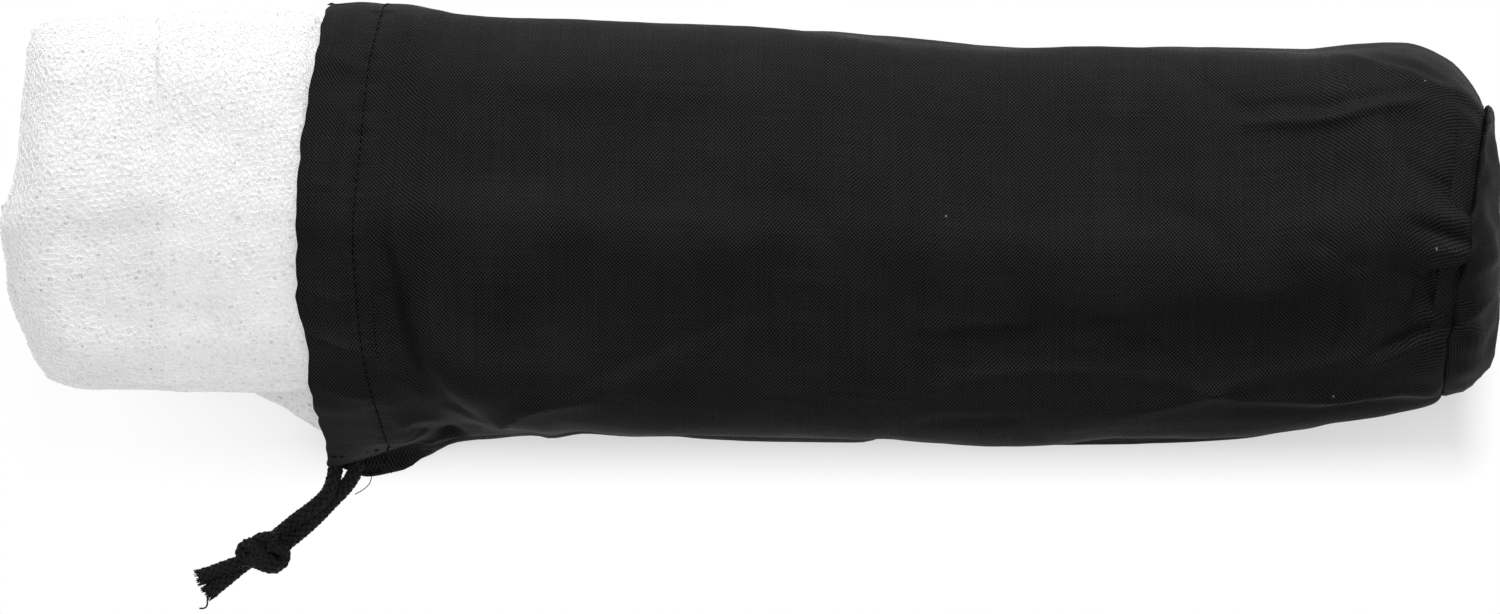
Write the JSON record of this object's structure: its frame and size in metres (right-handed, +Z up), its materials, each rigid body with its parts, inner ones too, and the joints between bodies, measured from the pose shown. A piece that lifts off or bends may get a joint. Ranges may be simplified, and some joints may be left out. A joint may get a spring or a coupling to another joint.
{
  "type": "net in drawstring bag",
  "caption": "Long black woven drawstring bag lying on its side, with a folded white fine-mesh net standing out of its mouth and a knotted braided drawcord.",
  "frame": {"origin": "on the surface that the bag lies on, under the middle of the length and width of bag and net", "axes": "+Z up from that surface, +X along the bag from its mouth towards its sewn base, +Y across the bag, away from the side seam and the drawcord's free end"},
  "size_m": [0.4984, 0.2001, 0.085],
  "materials": {
    "bag_cloth": "matte plain-woven synthetic cloth, black",
    "net_mesh": "matte fine knitted mesh, white",
    "cord_braid": "matte braided synthetic cord, black",
    "sewing_thread": "satin sewing thread, black"
  },
  "bodies": {
    "bag": {"body_panel": "bag_cloth", "casing_facing": "bag_cloth", "casing_hem_upper": "bag_cloth", "casing_hem_lower": "bag_cloth", "base_panel": "bag_cloth", "side_seam_allowance": "bag_cloth", "base_seam_allowance": "bag_cloth", "casing_stitching": "sewing_thread", "casing_hem_stitching": "sewing_thread", "side_seam_thread": "sewing_thread", "base_seam_thread": "sewing_thread", "drawcord_loop": "cord_braid"},
    "drawcord_end": {"drawcord_strand_upper": "cord_braid", "drawcord_strand_lower": "cord_braid", "drawcord_knot": "cord_braid", "drawcord_tail_upper": "cord_braid", "drawcord_tail_lower": "cord_braid"},
    "net": {"net_bundle": "net_mesh", "net_outer_turn": "net_mesh", "net_flare": "net_mesh"}
  },
  "joints": [
    {"name": "net_pull", "type": "slide", "parent": "bag", "child": "net", "axis": [-1, 0, 0], "range_m": [0, 0.41]},
    {"name": "drawcord_pull", "type": "slide", "parent": "bag", "child": "drawcord_end", "axis": [0, -1, 0], "range_m": [0, 0.02]}
  ]
}
